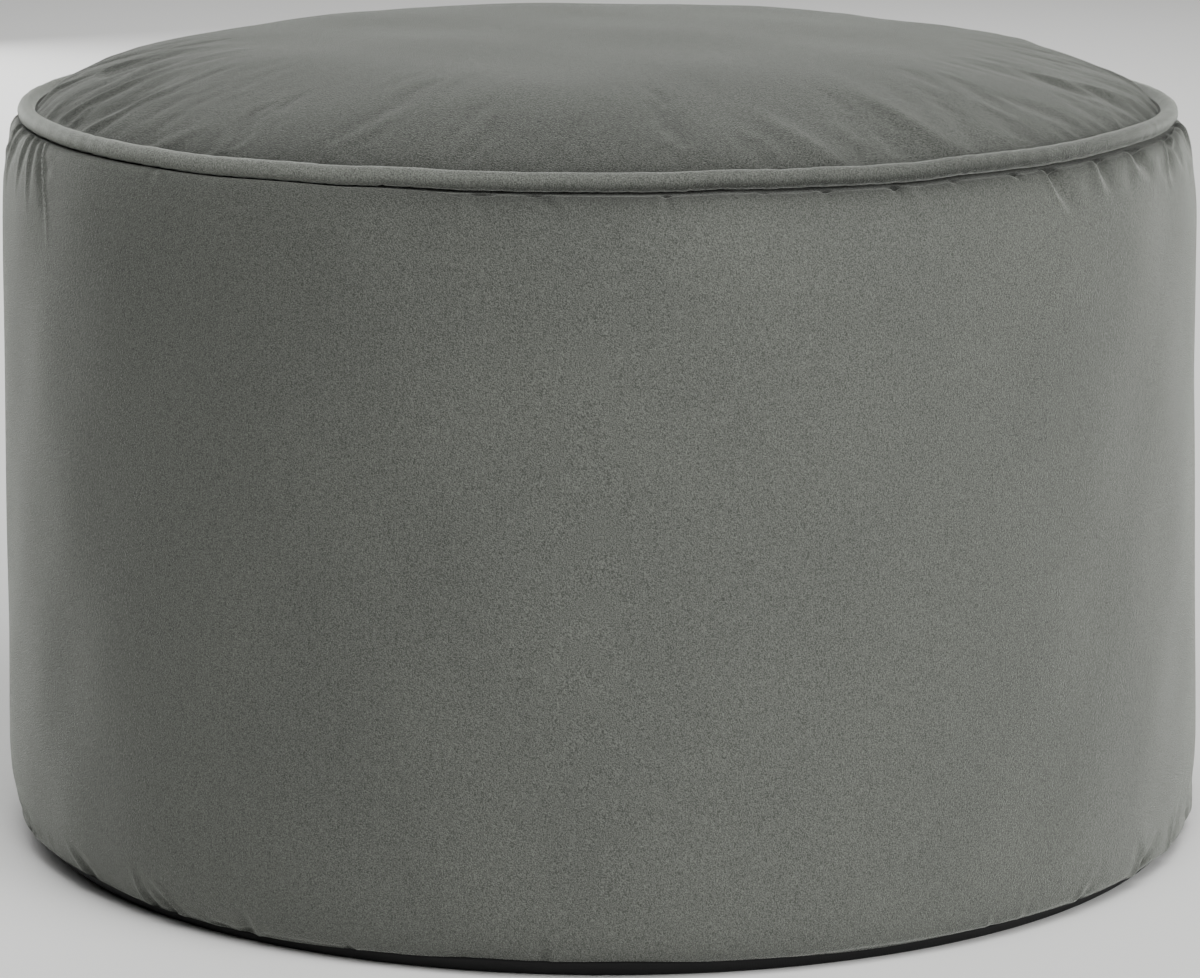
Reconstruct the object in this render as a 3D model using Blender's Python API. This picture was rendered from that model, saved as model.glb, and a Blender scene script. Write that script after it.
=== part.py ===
"""Bean bag footstool: a round drum of short-pile cloth, filled with beads.

A maker cuts three panels and one bias strip: a round top panel, a long side panel that closes into a tube, a round
base panel of plain black cloth, and the strip that is wrapped round a cord to make the piping in the top seam.
Filled, the top panel crowns, the side panel bellies out between its two seams, and both gather into short puckers
where they are sewn down. Each piece is one object: the two velvet pieces are solid with their share of the filling,
and part on the flat plane of the top seam. Metres, +Z up, origin on the floor under the middle of the footstool.
"""

import math
from collections import namedtuple

import bmesh
import bpy
from mathutils import Vector

for thing in list(bpy.data.objects):
    bpy.data.objects.remove(thing)

# Driving sizes
WIDEST_RADIUS = 0.2500  # the belly of the side panel, just above the floor
SHOULDER_RADIUS = 0.2466  # the wall where the shoulder starts to tuck in
SEAM_HEIGHT = 0.2993  # the piping's centreline above the floor
RING_RADIUS = 0.2350  # the piping's centreline
PIPING_RADIUS = 0.0036  # a 5 mm cord in its wrap of velvet
CROWN_RISE = 0.0305  # the top panel's middle above its edge
GAP = 0.0003  # between one piece and the next

# The base panel lies flat on the floor, and its rim is turned up to the lower seam
FLOOR_RADIUS = 0.2381
BASE_CLOTH = 0.0020
RIM_RISE = 0.0064
RIM_OUT = 0.0067

# The side panel tucks in to its two seams round these elliptical corners
SHOULDER_DROP = 0.040
SHOULDER_TUCK = 0.0087
FOOT_RISE = 0.0385
FOOT_TUCK = 0.0056

# The crown is flat in the middle and steepest at its edge
CROWN_SQUARENESS = 4.0
CROWN_STEEPNESS = 0.87

# Where each panel leaves the piping, as an angle round its section from straight out
SIDE_LEAVES_AT = math.radians(-65)
TOP_LEAVES_AT = math.radians(150)

# How the filled drum stands out of true: its foot is off towards +X, and its wall, top seam and crown lean to -X
FOOT_SHIFT = 0.0026
FOOT_SHIFT_FADES_OVER = 0.008
WALL_SHIFT = -0.0008
WALL_SHIFT_STARTS = 0.10
WALL_SHIFT_ENDS = 0.20
RING_SHIFT = -0.0009
CROWN_SHIFT = -0.0026

# Each seam climbs and dips a little on its way round. Azimuths are in degrees from the front (-Y), positive towards
# +X, and lift is above the seam's own height.
Waver = namedtuple("Waver", "azimuth lift")

UPPER_SEAM = (
    Waver(-180, 0.0005),
    Waver(-150, 0.0013),
    Waver(-120, 0.0020),
    Waver(-95, 0.0019),
    Waver(-68, 0.0014),
    Waver(-38, 0.0001),
    Waver(-19, 0.0008),
    Waver(0, 0.0004),
    Waver(29, 0.0001),
    Waver(60, 0.0013),
    Waver(95, 0.0005),
    Waver(125, 0.0001),
    Waver(155, 0.0007),
    Waver(180, 0.0005),
)

LOWER_SEAM = (
    Waver(-180, -0.0004),
    Waver(-148, 0.0006),
    Waver(-120, -0.0004),
    Waver(-95, 0.0010),
    Waver(-65, 0.0016),
    Waver(-40, -0.0010),
    Waver(-10, 0.0010),
    Waver(24, -0.0008),
    Waver(64, -0.0010),
    Waver(108, 0.0008),
    Waver(134, -0.0006),
    Waver(160, 0.0004),
    Waver(180, -0.0004),
)

SHOULDER_TOP = SEAM_HEIGHT - PIPING_RADIUS

# Facets
COLUMNS = 200
PIPING_COLUMNS = 120
PIPING_SIDES = 8
GROOVE_STEPS = 3
SHARP_EDGE = math.radians(32)
WELD_DISTANCE = 0.000001
SIDE_ROWS = (0.010, 0.015, 0.022, 0.034, 0.060, 0.130, 0.200, 0.240, 0.256, 0.267, 0.276, 0.283, 0.288, 0.2925)
CROWN_ROWS = (0.228, 0.222, 0.215, 0.206, 0.195, 0.181, 0.163, 0.138, 0.100)

Finish = namedtuple("Finish", "name colour roughness")
VELVET = Finish("grey_velvet", (0.140, 0.147, 0.133), 0.90)
PIPING_VELVET = Finish("grey_velvet_on_the_bias", (0.170, 0.176, 0.163), 0.88)
BLACK_CLOTH = Finish("black_base_cloth", (0.006, 0.006, 0.006), 0.85)

# A crease starts at a seam and dies out in the panel. drift is how far the crease has turned at its far end. The cloth
# drops steeply into the crease on one side, +1 towards higher azimuths or -1, over steep, and rises out of it over soft.
Crease = namedtuple("Crease", "azimuth drift length depth side steep soft")

SHOULDER_CREASES = (
    Crease(-178, 2, 0.020, 0.0018, 1, 0.004, 0.010),
    Crease(-164, -2, 0.014, 0.0014, -1, 0.004, 0.009),
    Crease(-152, 1, 0.026, 0.0024, 1, 0.005, 0.011),
    Crease(-132, 2, 0.018, 0.0020, -1, 0.004, 0.010),
    Crease(-118, -2, 0.015, 0.0015, 1, 0.004, 0.009),
    Crease(-107, 3, 0.024, 0.0024, 1, 0.005, 0.011),
    Crease(-97, 1, 0.016, 0.0016, -1, 0.004, 0.009),
    Crease(-85, -2, 0.020, 0.0020, 1, 0.004, 0.010),
    Crease(-74, -3, 0.022, 0.0026, 1, 0.005, 0.010),
    Crease(-63, 2, 0.038, 0.0032, 1, 0.005, 0.009),
    Crease(-44, 0, 0.012, 0.0010, -1, 0.005, 0.008),
    Crease(-11, 1, 0.010, 0.0012, -1, 0.005, 0.008),
    Crease(-2, 1, 0.011, 0.0014, -1, 0.004, 0.008),
    Crease(8, 0, 0.011, 0.0015, 1, 0.004, 0.008),
    Crease(21, 0, 0.012, 0.0016, -1, 0.004, 0.008),
    Crease(29, 2, 0.017, 0.0015, -1, 0.004, 0.008),
    Crease(48, 2, 0.022, 0.0030, -1, 0.005, 0.009),
    Crease(55, 2, 0.018, 0.0020, -1, 0.004, 0.008),
    Crease(61, 3, 0.016, 0.0023, -1, 0.005, 0.009),
    Crease(71, 2, 0.020, 0.0026, -1, 0.005, 0.009),
    Crease(81, -2, 0.014, 0.0016, 1, 0.004, 0.008),
    Crease(93, 2, 0.022, 0.0024, -1, 0.005, 0.010),
    Crease(114, -3, 0.025, 0.0025, -1, 0.005, 0.011),
    Crease(123, 1, 0.014, 0.0014, -1, 0.004, 0.008),
    Crease(136, 2, 0.019, 0.0020, 1, 0.004, 0.010),
    Crease(156, 2, 0.024, 0.0023, 1, 0.005, 0.010),
    Crease(169, 0, 0.013, 0.0013, -1, 0.004, 0.008),
)

FOOT_CREASES = (
    Crease(-172, -3, 0.014, 0.0015, -1, 0.004, 0.009),
    Crease(-150, 3, 0.012, 0.0012, 1, 0.004, 0.008),
    Crease(-128, -3, 0.015, 0.0018, -1, 0.004, 0.010),
    Crease(-104, -3, 0.013, 0.0014, 1, 0.004, 0.009),
    Crease(-84, -4, 0.015, 0.0017, 1, 0.004, 0.010),
    Crease(-58, -4, 0.014, 0.0018, 1, 0.004, 0.009),
    Crease(-44, -3, 0.016, 0.0020, 1, 0.004, 0.009),
    Crease(-34, 0, 0.015, 0.0017, 1, 0.004, 0.009),
    Crease(-23, 0, 0.009, 0.0010, 1, 0.004, 0.008),
    Crease(-6, 0, 0.010, 0.0011, 1, 0.004, 0.008),
    Crease(49, 2, 0.010, 0.0015, -1, 0.004, 0.009),
    Crease(60, 5, 0.016, 0.0022, -1, 0.005, 0.010),
    Crease(69, 4, 0.016, 0.0018, -1, 0.004, 0.009),
    Crease(90, 4, 0.014, 0.0017, -1, 0.004, 0.010),
    Crease(112, 3, 0.012, 0.0013, 1, 0.004, 0.009),
    Crease(137, 4, 0.015, 0.0018, -1, 0.004, 0.010),
    Crease(162, -3, 0.013, 0.0014, 1, 0.004, 0.009),
)

CROWN_CREASES = (
    Crease(-164, 2, 0.045, 0.0020, 1, 0.007, 0.012),
    Crease(-150, -3, 0.060, 0.0026, -1, 0.007, 0.013),
    Crease(-134, 3, 0.040, 0.0018, 1, 0.007, 0.011),
    Crease(-118, -2, 0.055, 0.0024, 1, 0.007, 0.013),
    Crease(-98, -3, 0.050, 0.0022, 1, 0.007, 0.012),
    Crease(-84, -3, 0.030, 0.0016, -1, 0.006, 0.010),
    Crease(-71, -7, 0.078, 0.0040, 1, 0.007, 0.014),
    Crease(-60, -2, 0.052, 0.0028, 1, 0.006, 0.010),
    Crease(-40, -2, 0.028, 0.0010, 1, 0.007, 0.012),
    Crease(28, -6, 0.080, 0.0030, 1, 0.009, 0.014),
    Crease(39, -2, 0.038, 0.0016, -1, 0.007, 0.010),
    Crease(66, 1, 0.024, 0.0020, -1, 0.006, 0.009),
    Crease(76, -8, 0.072, 0.0028, -1, 0.006, 0.010),
    Crease(94, 2, 0.042, 0.0030, -1, 0.007, 0.013),
    Crease(112, 3, 0.055, 0.0022, 1, 0.007, 0.012),
    Crease(128, -3, 0.045, 0.0020, -1, 0.007, 0.012),
    Crease(144, 2, 0.062, 0.0026, 1, 0.007, 0.013),
    Crease(160, -2, 0.040, 0.0016, -1, 0.007, 0.011),
    Crease(176, 3, 0.055, 0.0022, 1, 0.007, 0.012),
)

# A crease's steep side carries a lip this share of its depth, this many times steep away from the crease's line, and
# the crease opens over this share of its length
LIP_SHARE = 0.35
LIP_AT = 2
OPENS_OVER = 0.15


def smoothstep(low, high, value):
    """0 below low, 1 above high, and a smooth climb between."""
    share = min(1.0, max(0.0, (value - low) / (high - low)))
    return share * share * (3 - 2 * share)


def elliptical_corner(share, tuck):
    """How far a quarter ellipse has tucked in, share of the way along it."""
    share = min(1.0, max(0.0, share))
    return tuck * (1 - math.sqrt(1 - share**2))


def side_radius(height):
    """The side panel's outline: a wall that leans in as it rises, with a rounded foot and shoulder."""
    shoulder_start = SHOULDER_TOP - SHOULDER_DROP
    foot_top = RIM_RISE + FOOT_RISE
    lean = (WIDEST_RADIUS - SHOULDER_RADIUS) * (height - foot_top) / (shoulder_start - foot_top)
    shoulder = elliptical_corner((height - shoulder_start) / SHOULDER_DROP, SHOULDER_TUCK)
    foot = elliptical_corner((foot_top - height) / FOOT_RISE, FOOT_TUCK)
    return WIDEST_RADIUS - lean - shoulder - foot


def groove_point(angle):
    """A point of the groove that holds the piping, as (radius, height)."""
    reach = PIPING_RADIUS + GAP
    return RING_RADIUS + reach * math.cos(angle), SEAM_HEIGHT + reach * math.sin(angle)


def groove(first, last):
    """The groove's points from angle first to angle last, both included."""
    return [groove_point(first + (last - first) * step / GROOVE_STEPS) for step in range(GROOVE_STEPS + 1)]


def crown_height(radius):
    """The top panel's outline from its edge on the piping up to the middle."""
    edge_radius, edge_height = groove_point(TOP_LEAVES_AT)
    share = min(1.0, radius / edge_radius)
    return edge_height + CROWN_RISE * (1 - share**CROWN_SQUARENESS) ** CROWN_STEEPNESS


def degrees_between(azimuth, other):
    """The signed turn from other to azimuth, from -180 to 180 degrees."""
    return (azimuth - other + 180) % 360 - 180


def crease_depth(creases, azimuth, from_seam, radius):
    """How far the cloth is drawn in this far from the seam. It is below 0 on a crease's lip."""
    depth = 0.0
    for crease in creases:
        along = from_seam / crease.length
        if not 0 < along < 1:
            continue
        line = crease.azimuth + crease.drift * along
        across = math.radians(degrees_between(azimuth, line)) * radius * crease.side
        width = crease.steep if across > 0 else crease.soft
        trough = math.exp(-((across / width) ** 2))
        lip = LIP_SHARE * math.exp(-((across / crease.steep - LIP_AT) ** 2))
        fade = smoothstep(0, OPENS_OVER, along) * (1 - along)
        depth += crease.depth * fade * (trough - lip)
    return depth


def gather_side(point):
    """Draws the side panel's skin in along its creases, at both seams."""
    radius = math.hypot(point.x, point.y)
    below_seam = SHOULDER_TOP - point.z
    above_seam = point.z - RIM_RISE - BASE_CLOTH
    if radius < FLOOR_RADIUS or below_seam < 0:
        return point
    azimuth = math.degrees(math.atan2(point.x, -point.y))
    depth = crease_depth(SHOULDER_CREASES, azimuth, below_seam, radius)
    depth += crease_depth(FOOT_CREASES, azimuth, above_seam, radius)
    kept = 1 - depth / radius
    return Vector((point.x * kept, point.y * kept, point.z))


def gather_crown(point):
    """Presses the top panel's skin down along its creases."""
    radius = math.hypot(point.x, point.y)
    edge_radius, edge_height = groove_point(TOP_LEAVES_AT)
    if point.z <= edge_height:
        return point
    azimuth = math.degrees(math.atan2(point.x, -point.y))
    depth = crease_depth(CROWN_CREASES, azimuth, edge_radius - radius, edge_radius)
    return Vector((point.x, point.y, point.z - depth))


def waver(seam, azimuth):
    """A seam's lift at an azimuth, eased from each row of its table to the next."""
    for row, following in zip(seam, seam[1:]):
        if azimuth <= following.azimuth:
            return row.lift + (following.lift - row.lift) * smoothstep(row.azimuth, following.azimuth, azimuth)
    return seam[-1].lift


def settle(point):
    """The gentle drift of the whole filled drum. Every piece goes through it, so the gaps between them stay."""
    radius = math.hypot(point.x, point.y)
    azimuth = math.degrees(math.atan2(point.x, -point.y))
    at_foot = math.exp(-max(0.0, point.z - RIM_RISE - BASE_CLOTH) / FOOT_SHIFT_FADES_OVER)
    at_wall = smoothstep(WALL_SHIFT_STARTS, WALL_SHIFT_ENDS, point.z)
    at_ring = smoothstep(SHOULDER_TOP - SHOULDER_DROP, SHOULDER_TOP, point.z)
    at_crown = smoothstep(SEAM_HEIGHT + PIPING_RADIUS, SEAM_HEIGHT + CROWN_RISE, point.z)
    shift = FOOT_SHIFT * at_foot + WALL_SHIFT * at_wall + RING_SHIFT * at_ring + CROWN_SHIFT * at_crown

    at_edge = smoothstep(RING_RADIUS / 2, RING_RADIUS - PIPING_RADIUS - GAP, radius)
    on_rim = smoothstep(FLOOR_RADIUS, FLOOR_RADIUS + RIM_OUT - BASE_CLOTH, radius)
    lift = waver(UPPER_SEAM, azimuth) * at_ring * at_edge + waver(LOWER_SEAM, azimuth) * on_rim * at_foot
    return Vector((point.x + shift, point.y, point.z + lift))


def material_of(finish):
    material = bpy.data.materials.get(finish.name)
    if material:
        return material
    material = bpy.data.materials.new(finish.name)
    material.use_nodes = True
    shader = material.node_tree.nodes["Principled BSDF"]
    shader.inputs["Base Color"].default_value = (*finish.colour, 1)
    shader.inputs["Roughness"].default_value = finish.roughness
    shader.inputs["Metallic"].default_value = 0
    return material


def turned(name, outline, finish, gather=None, closed=False, columns=COLUMNS):
    """Spins an outline of (radius, height) points round Z, shapes its skin with gather, and settles it.

    An outline that isn't closed starts and ends on the axis. A closed one is round, so none of its edges is sharp."""
    mesh = bmesh.new()
    profile = [mesh.verts.new((0, -radius, height)) for radius, height in outline]
    following = profile[1:] + profile[:1] if closed else profile[1:]
    edges = [mesh.edges.new(pair) for pair in zip(profile, following)]
    bmesh.ops.spin(
        mesh,
        geom=profile + edges,
        cent=(0, 0, 0),
        axis=(0, 0, 1),
        angle=math.tau,
        steps=columns,
        use_merge=True,
    )
    bmesh.ops.remove_doubles(mesh, verts=mesh.verts, dist=WELD_DISTANCE)
    for vert in mesh.verts:
        shaped = gather(vert.co) if gather else vert.co
        vert.co = settle(shaped)
    bmesh.ops.recalc_face_normals(mesh, faces=mesh.faces)
    data = bpy.data.meshes.new(name)
    mesh.to_mesh(data)
    mesh.free()
    data.shade_smooth()
    if not closed:
        data.set_sharp_from_angle(angle=SHARP_EDGE)
    data.materials.append(material_of(finish))
    piece = bpy.data.objects.new(name, data)
    bpy.context.scene.collection.objects.link(piece)


def rim_section(cloth):
    """The base panel's turned-up cloth, cloth thick: its inner fold and its inner edge, as (radius, height)."""
    lift = cloth * math.sqrt(0.5)
    fold = FLOOR_RADIUS + cloth - 2 * lift
    return (fold, cloth), (FLOOR_RADIUS + RIM_OUT - lift, RIM_RISE + lift)


def base_panel_outline():
    """Black cloth flat on the floor, with its rim turned up to the lower seam."""
    fold, edge = rim_section(BASE_CLOTH)
    return [(0, 0), (FLOOR_RADIUS, 0), (FLOOR_RADIUS + RIM_OUT, RIM_RISE), edge, fold, (0, BASE_CLOTH)]


def side_panel_outline():
    """The filled drum: it sits in the base panel's dish, and its flat top is the plane of the top seam."""
    fold, edge = rim_section(BASE_CLOTH + GAP)
    step = GAP * math.sqrt(0.5)
    over_edge = (edge[0] + step, edge[1] + step)
    over_rim = (FLOOR_RADIUS + RIM_OUT + step, RIM_RISE + step)
    wall = [(side_radius(height), height) for height in SIDE_ROWS]
    seat = groove(SIDE_LEAVES_AT, -math.pi)
    seam_plane = SEAM_HEIGHT - GAP / 2
    inner_lip = (seat[-1][0], seam_plane)
    return [(0, fold[1]), fold, over_edge, over_rim] + wall + seat[:-1] + [inner_lip, (0, seam_plane)]


def top_panel_outline():
    """The filled crown: flat below on the plane of the top seam, domed above."""
    seat = groove(math.pi, TOP_LEAVES_AT)
    seam_plane = SEAM_HEIGHT + GAP / 2
    inner_lip = (seat[0][0], seam_plane)
    crown = [(radius, crown_height(radius)) for radius in (*CROWN_ROWS, 0)]
    return [(0, seam_plane), inner_lip] + seat[1:] + crown


def piping_outline():
    """The round section of the covered cord, in the groove between the two velvet panels."""
    turns = [math.tau * side / PIPING_SIDES for side in range(PIPING_SIDES)]
    return [
        (RING_RADIUS + PIPING_RADIUS * math.cos(turn), SEAM_HEIGHT + PIPING_RADIUS * math.sin(turn))
        for turn in turns
    ]


turned("base_panel", base_panel_outline(), BLACK_CLOTH)
turned("side_panel", side_panel_outline(), VELVET, gather_side)
turned("top_panel", top_panel_outline(), VELVET, gather_crown)
turned("piping", piping_outline(), PIPING_VELVET, closed=True, columns=PIPING_COLUMNS)
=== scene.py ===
"""Bean bag footstool in grey velvet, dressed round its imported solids. Metres, +Z up."""

import math
from collections import namedtuple

import bpy
import numpy as np
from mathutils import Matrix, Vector


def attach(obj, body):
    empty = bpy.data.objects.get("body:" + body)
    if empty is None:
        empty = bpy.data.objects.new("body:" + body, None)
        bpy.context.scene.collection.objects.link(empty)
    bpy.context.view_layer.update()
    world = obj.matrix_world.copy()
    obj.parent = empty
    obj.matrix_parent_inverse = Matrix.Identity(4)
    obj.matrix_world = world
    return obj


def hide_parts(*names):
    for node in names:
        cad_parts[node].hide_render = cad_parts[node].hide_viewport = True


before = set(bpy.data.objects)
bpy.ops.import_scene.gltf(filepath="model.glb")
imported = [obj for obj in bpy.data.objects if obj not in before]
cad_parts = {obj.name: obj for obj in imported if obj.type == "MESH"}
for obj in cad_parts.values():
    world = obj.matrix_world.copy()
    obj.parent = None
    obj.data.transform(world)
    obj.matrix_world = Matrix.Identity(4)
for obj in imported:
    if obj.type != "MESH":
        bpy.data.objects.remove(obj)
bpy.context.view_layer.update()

# --------------------------------------------------------------------------------------------------
# Base panel. A disc of black plain-woven polyester, cut a little larger than the flat it stands on. The
# weight of the beads presses the middle flat on the floor and turns its rim up to the lower seam, which
# wavers because it was sewn by hand and eye round a full circle.
# --------------------------------------------------------------------------------------------------

FLOOR_RADIUS = 0.2381
BASE_CLOTH = 0.0012
RIM_SLOPE = 1.05  # how far the rim runs out for each metre that it rises
RIM_CURL = 1.25
RIM_STEPS = 6
BASE_COLUMNS = 600
LOWER_SHARES = (0.3, 0.6, 0.85, 0.97, 1)  # the rings of points on the flat, as shares of its radius
UPPER_SHARES = (1, 0.85, 0.6, 0.3)

# How high the lower seam stands at each azimuth. 0 degrees is the front (-Y), and positive is towards +X.
SeamHeight = namedtuple("SeamHeight", "azimuth height")
LOWER_SEAM = (
    SeamHeight(-180, 0.0062),
    SeamHeight(-148, 0.0076),
    SeamHeight(-120, 0.0060),
    SeamHeight(-95, 0.0082),
    SeamHeight(-70, 0.0104),
    SeamHeight(-57, 0.0092),
    SeamHeight(-46, 0.0054),
    SeamHeight(-32, 0.0046),
    SeamHeight(-18, 0.0066),
    SeamHeight(-11, 0.0082),
    SeamHeight(-5, 0.0078),
    SeamHeight(1, 0.0083),
    SeamHeight(10, 0.0069),
    SeamHeight(24, 0.0056),
    SeamHeight(37, 0.0064),
    SeamHeight(48, 0.0057),
    SeamHeight(64, 0.0052),
    SeamHeight(84, 0.0066),
    SeamHeight(108, 0.0079),
    SeamHeight(134, 0.0058),
    SeamHeight(160, 0.0072),
    SeamHeight(180, 0.0062),
)

# The filled drum stands a little out of true: its foot is off to one side, and its top seam and crown
# lean the other way
FOOT_SHIFT = 0.0026
FOOT_SHIFT_TOP = 0.0084
FOOT_SHIFT_FADES_OVER = 0.008
WALL_SHIFT = -0.0008
WALL_SHIFT_STARTS = 0.10
WALL_SHIFT_ENDS = 0.20
RING_SHIFT = -0.0009
CROWN_SHIFT = -0.0026
SHOULDER_START = 0.2554
SEAM_HEIGHT = 0.2993
PIPING_RADIUS = 0.0036
CROWN_RISE = 0.0305


def smoothstep(low, high, value):
    share = np.clip((value - low) / (high - low), 0, 1)
    return share * share * (3 - 2 * share)


def azimuths(columns):
    return np.arange(columns) * math.tau / columns


def eased(table, azimuth):
    """A table's second column at each azimuth, eased from row to row. Its first column is in degrees."""
    degrees = np.mod(np.degrees(azimuth) + 180, 360) - 180
    known, values = np.array(table).T
    after = np.clip(np.searchsorted(known, degrees, side="right"), 1, len(known) - 1)
    share = smoothstep(known[after - 1], known[after], degrees)
    return values[after - 1] + (values[after] - values[after - 1]) * share


def ring(radius, height, azimuth):
    """Points round the drum at one radius and height, or one for each azimuth, shifted as the drum leans."""
    radius = np.broadcast_to(radius, azimuth.shape)
    height = np.broadcast_to(height, azimuth.shape)
    shift = FOOT_SHIFT * np.exp(-np.maximum(0, height - FOOT_SHIFT_TOP) / FOOT_SHIFT_FADES_OVER)
    shift += WALL_SHIFT * smoothstep(WALL_SHIFT_STARTS, WALL_SHIFT_ENDS, height)
    shift += RING_SHIFT * smoothstep(SHOULDER_START, SEAM_HEIGHT - PIPING_RADIUS, height)
    shift += CROWN_SHIFT * smoothstep(SEAM_HEIGHT + PIPING_RADIUS, SEAM_HEIGHT + CROWN_RISE, height)
    return np.stack([radius * np.sin(azimuth) + shift, -radius * np.cos(azimuth), height], axis=-1)


def skin(name, rings):
    """A closed mesh over rings of points, from the bottom pole, up the outside, to the top pole.

    Each ring has as many points as the last one, or half as many. A pole is a ring of one point."""
    faces = []
    start = 0
    for low, high in zip(rings, rings[1:]):
        below = start + np.arange(len(low))
        above = start + len(low) + np.arange(len(high))
        start += len(low)
        if len(low) == 1:
            faces += [(below[0], a, b) for a, b in zip(np.roll(above, -1), above)]
        elif len(high) == 1:
            faces += [(a, b, above[0]) for a, b in zip(below, np.roll(below, -1))]
        elif len(low) == len(high):
            faces += list(zip(below, np.roll(below, -1), np.roll(above, -1), above))
        elif len(low) == 2 * len(high):
            left, middle, right = below[::2], below[1::2], np.roll(below[::2], -1)
            faces += list(zip(left, middle, above))
            faces += list(zip(middle, np.roll(above, -1), above))
            faces += list(zip(middle, right, np.roll(above, -1)))
    mesh = bpy.data.meshes.new(name)
    mesh.from_pydata(np.concatenate(rings).tolist(), [], [tuple(int(i) for i in face) for face in faces])
    mesh.update()
    mesh.shade_smooth()
    piece = bpy.data.objects.new(name, mesh)
    bpy.context.scene.collection.objects.link(piece)
    return piece


around = azimuths(BASE_COLUMNS)
pole = azimuths(1)
rise = eased(LOWER_SEAM, around)
outside = []
inside = []
for step in np.linspace(0, 1, RIM_STEPS + 1)[1:]:
    out = FLOOR_RADIUS + RIM_SLOPE * rise * step
    up = rise * step**RIM_CURL
    outside.append(ring(out, up, around))
    inside.append(ring(out - BASE_CLOTH, up + BASE_CLOTH / 2, around))
floor_rings = [ring(FLOOR_RADIUS * share, 0, around) for share in LOWER_SHARES]
upper_rings = [ring(FLOOR_RADIUS * share - BASE_CLOTH, BASE_CLOTH, around) for share in UPPER_SHARES]
base_panel = skin(
    "base_panel_cloth",
    [ring(0, 0, pole)] + floor_rings + outside + inside[::-1] + upper_rings + [ring(0, BASE_CLOTH, pole)],
)


def linear(hex_colour):
    """An sRGB hex colour as linear red, green, blue and alpha."""
    parts = [int(hex_colour[i : i + 2], 16) / 255 for i in (1, 3, 5)]
    return (*[p / 12.92 if p <= 0.04045 else ((p + 0.055) / 1.055) ** 2.4 for p in parts], 1)


def node(tree, kind, inputs=(), **settings):
    """Adds a node. inputs pairs a socket's name or number with a value, or with the output that feeds it."""
    added = tree.nodes.new(kind)
    for setting, value in settings.items():
        setattr(added, setting, value)
    for socket, value in dict(inputs).items():
        if isinstance(value, bpy.types.NodeSocket):
            tree.links.new(value, added.inputs[socket])
        else:
            added.inputs[socket].default_value = value
    return added


def new_material(name):
    """An empty material with its Principled shader, as (material, node tree, shader)."""
    material = bpy.data.materials.new(name)
    material.use_nodes = True
    return material, material.node_tree, material.node_tree.nodes["Principled BSDF"]


# Polyester taffeta, woven from dull black yarn and calendered flat: almost no light comes back from it.
BLACK_YARN = "#070708"
THREAD_SPACING = 0.0006
WAVE_RADIANS = 20  # the wave texture turns this far in a metre, for each unit of its scale
WEAVE_DEPTH = 0.00008
black_cloth, tree, shader = new_material("black_woven_polyester")
place = node(tree, "ShaderNodeTexCoord").outputs["Object"]
yarns = {"Vector": place, "Scale": math.tau / THREAD_SPACING / WAVE_RADIANS, "Distortion": 0.4}
warp = node(tree, "ShaderNodeTexWave", yarns, bands_direction="X")
weft = node(tree, "ShaderNodeTexWave", yarns, bands_direction="Y")
weave = node(tree, "ShaderNodeMath", {0: warp.outputs["Fac"], 1: weft.outputs["Fac"]}, operation="MULTIPLY")
bump = node(tree, "ShaderNodeBump", {"Height": weave.outputs[0], "Distance": WEAVE_DEPTH, "Strength": 0.5})
shader.inputs["Base Color"].default_value = linear(BLACK_YARN)
shader.inputs["Roughness"].default_value = 0.75
shader.inputs["Specular IOR Level"].default_value = 0.2
tree.links.new(bump.outputs[0], shader.inputs["Normal"])
base_panel.data.materials.append(black_cloth)

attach(base_panel, "root")
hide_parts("base_panel")

# --------------------------------------------------------------------------------------------------
# Side panel. One long strip of short-pile velvet, closed into a tube at the back. It is an outline
# turned round the drum, with its main creases from a table, and a cloth simulation gathers the spare
# cloth beside its two seams.
# --------------------------------------------------------------------------------------------------

WIDEST_RADIUS = 0.2500
SHOULDER_RADIUS = 0.2466
SHOULDER_TUCK = 0.0087
FOOT_TUCK = 0.0056
FOOT_TOP = 0.0449
RIM_RISE = 0.0064
RING_RADIUS = 0.2350
SIDE_COLUMNS = 1200
SHOULDER_ROWS = 30
FOOT_ROWS = 24
WALL_ROWS = 18
SEAM_SLOT = 0.0010  # the dark slot between the piping and the cloth below it
SEAM_GAP = 0.0003  # between the base panel's rim and this panel's edge
EDGE_BLEND = 0.0016  # how soon the outline swells out above the lower seam

# How high the middle of the piping stands. The stitches wander, so the seam climbs and dips a little
# all the way round.
UPPER_SEAM = (
    SeamHeight(-180, 0.2998),
    SeamHeight(-150, 0.3006),
    SeamHeight(-120, 0.3013),
    SeamHeight(-95, 0.3012),
    SeamHeight(-68, 0.3008),
    SeamHeight(-57, 0.3002),
    SeamHeight(-48, 0.2998),
    SeamHeight(-38, 0.2994),
    SeamHeight(-29, 0.2999),
    SeamHeight(-24, 0.2997),
    SeamHeight(-19, 0.3003),
    SeamHeight(-12, 0.2998),
    SeamHeight(0, 0.2997),
    SeamHeight(7, 0.2997),
    SeamHeight(11.5, 0.3002),
    SeamHeight(17, 0.2997),
    SeamHeight(29, 0.2994),
    SeamHeight(37, 0.3002),
    SeamHeight(44, 0.3000),
    SeamHeight(51, 0.3002),
    SeamHeight(60, 0.3008),
    SeamHeight(75, 0.3004),
    SeamHeight(95, 0.2998),
    SeamHeight(125, 0.2994),
    SeamHeight(155, 0.3000),
    SeamHeight(180, 0.2998),
)

# A crease is a fine ridge with a softer trough beside it. It starts this far from its seam, runs on for
# length, and its azimuth passes through at, via and to, in degrees. side is +1 where the trough lies
# towards higher azimuths. ridge and trough are heights, and ridge_width and trough_width are
# half-widths, all in millimetres; starts and length are millimetres too.
Crease = namedtuple("Crease", "at via to starts length ridge ridge_width trough trough_width side")

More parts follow.
